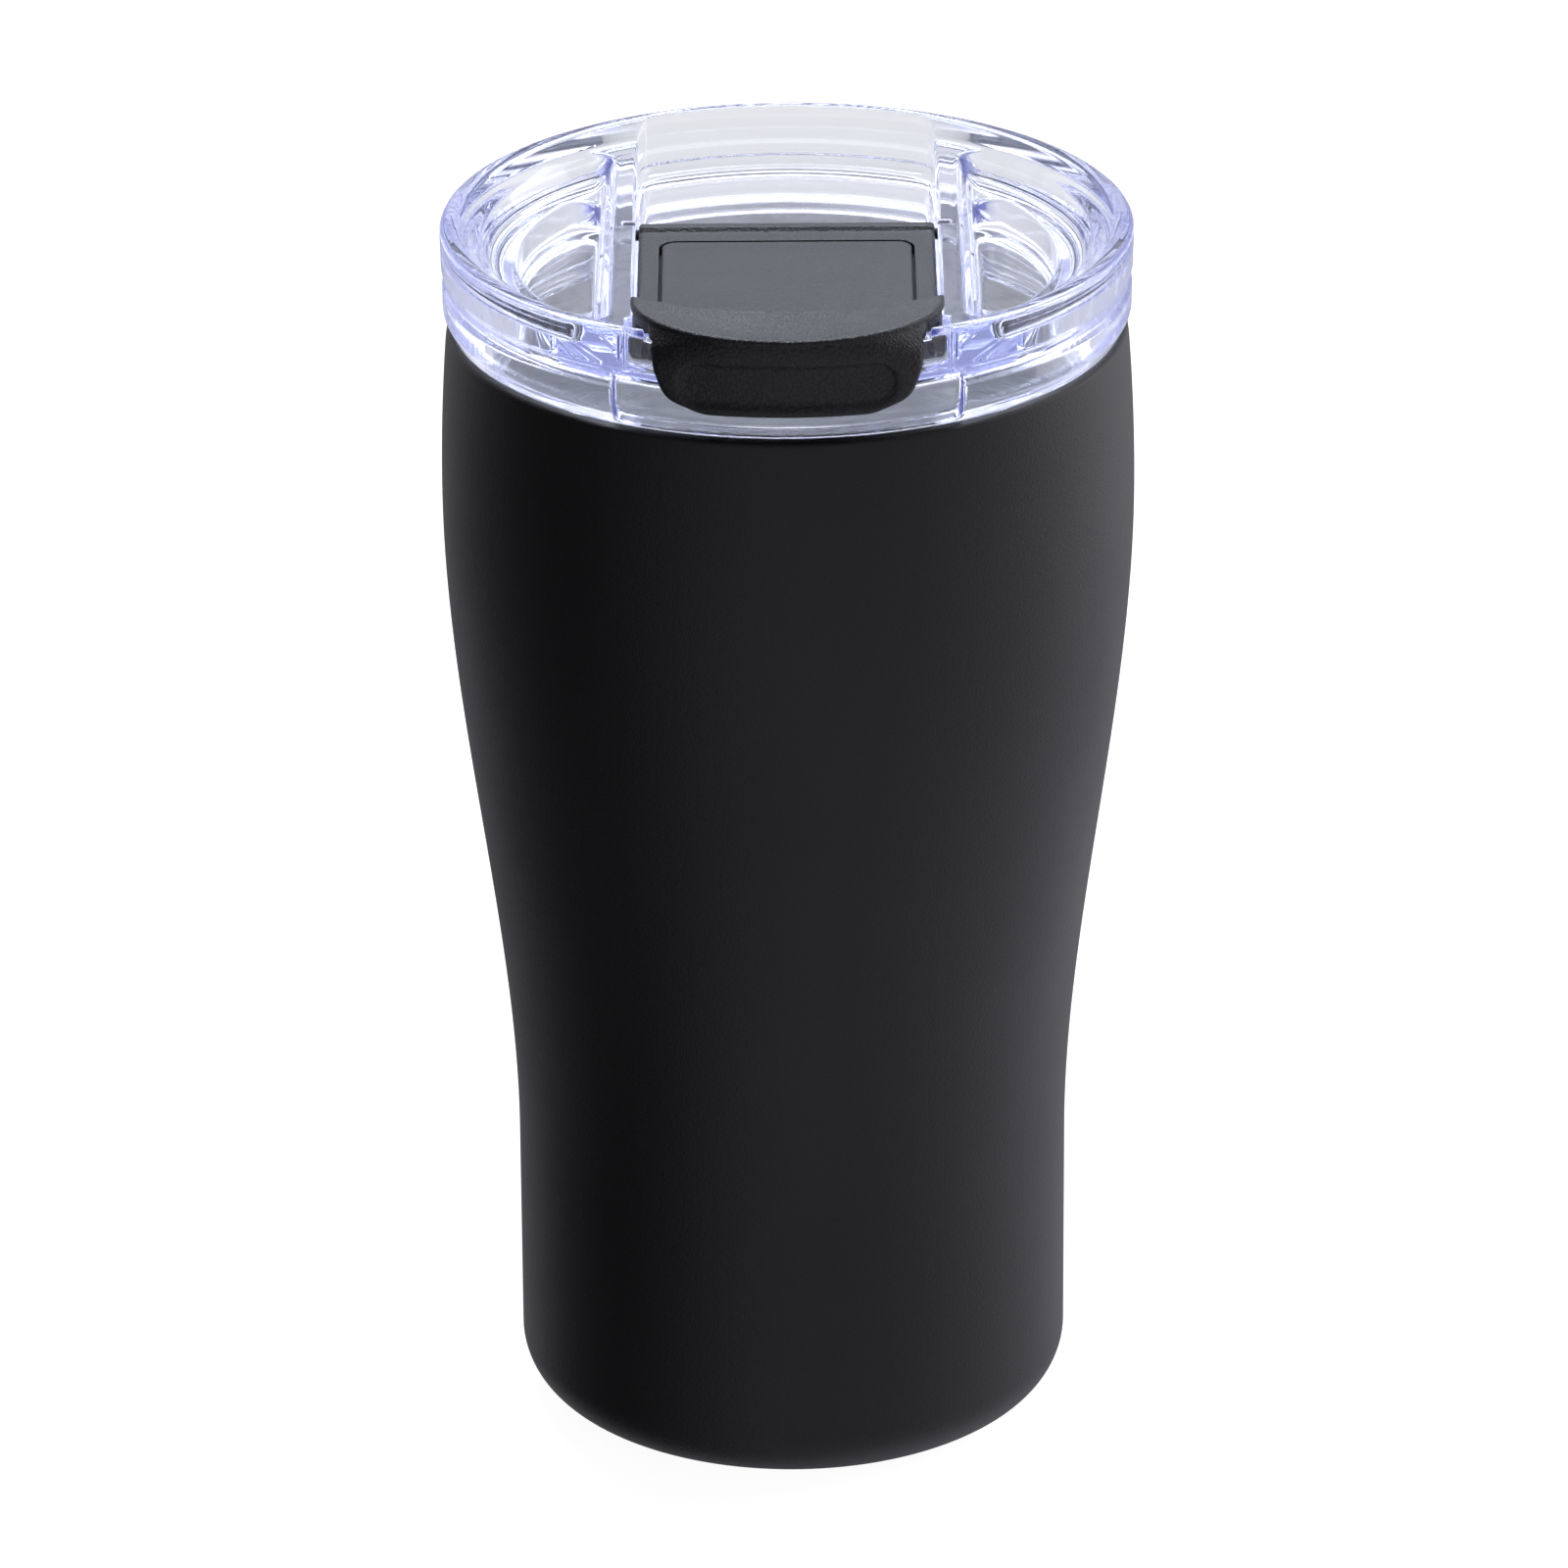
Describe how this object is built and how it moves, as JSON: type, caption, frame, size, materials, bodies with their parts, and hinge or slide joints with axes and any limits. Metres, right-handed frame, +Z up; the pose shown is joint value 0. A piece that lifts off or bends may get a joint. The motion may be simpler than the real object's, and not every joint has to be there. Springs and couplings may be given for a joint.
{
  "type": "insulated travel mug",
  "caption": "Double-wall steel travel mug with a swelled body, a clear lift-off lid and a flip flap over the drinking hole.",
  "frame": {"origin": "middle of the base, on the surface that the mug stands on", "axes": "+Z up along the mug's axis, -Y towards the drinking side, +X to the right of someone facing the tab"},
  "size_m": [0.089, 0.0899, 0.1646],
  "materials": {
    "powder_coat": "matte black powder coat with a fine grain",
    "base_coat": "matte black coat",
    "steel": "brushed",
    "getter": "sintered metal",
    "solder": "dark solder glass",
    "clear_lid": "clear copolyester, glossy",
    "clear_silicone": "translucent silicone",
    "flap_black": "fine spark texture",
    "panel_black": "fine spark texture",
    "seal_black": "matte silicone"
  },
  "bodies": {
    "vessel": {"outer_shell": "powder_coat", "inner_liner": "steel", "base_cap": "base_coat", "mid_bottom": "steel", "vacuum_getter": "getter", "port_seal": "solder"},
    "lid": {"lid_body": "clear_lid", "lid_gasket": "clear_silicone"},
    "flap": {"flap_body": "flap_black", "flap_panel": "panel_black", "flap_seal": "seal_black"}
  },
  "joints": [
    {"name": "lid_lift", "type": "slide", "parent": "vessel", "child": "lid", "axis": [0, 0, 1], "range_m": [0, 0.04]},
    {"name": "flap_hinge", "type": "hinge", "parent": "lid", "child": "flap", "pos_m": [0, 0.0056, 0.159], "axis": [-1, 0, 0], "range_deg": [0, 170]}
  ]
}
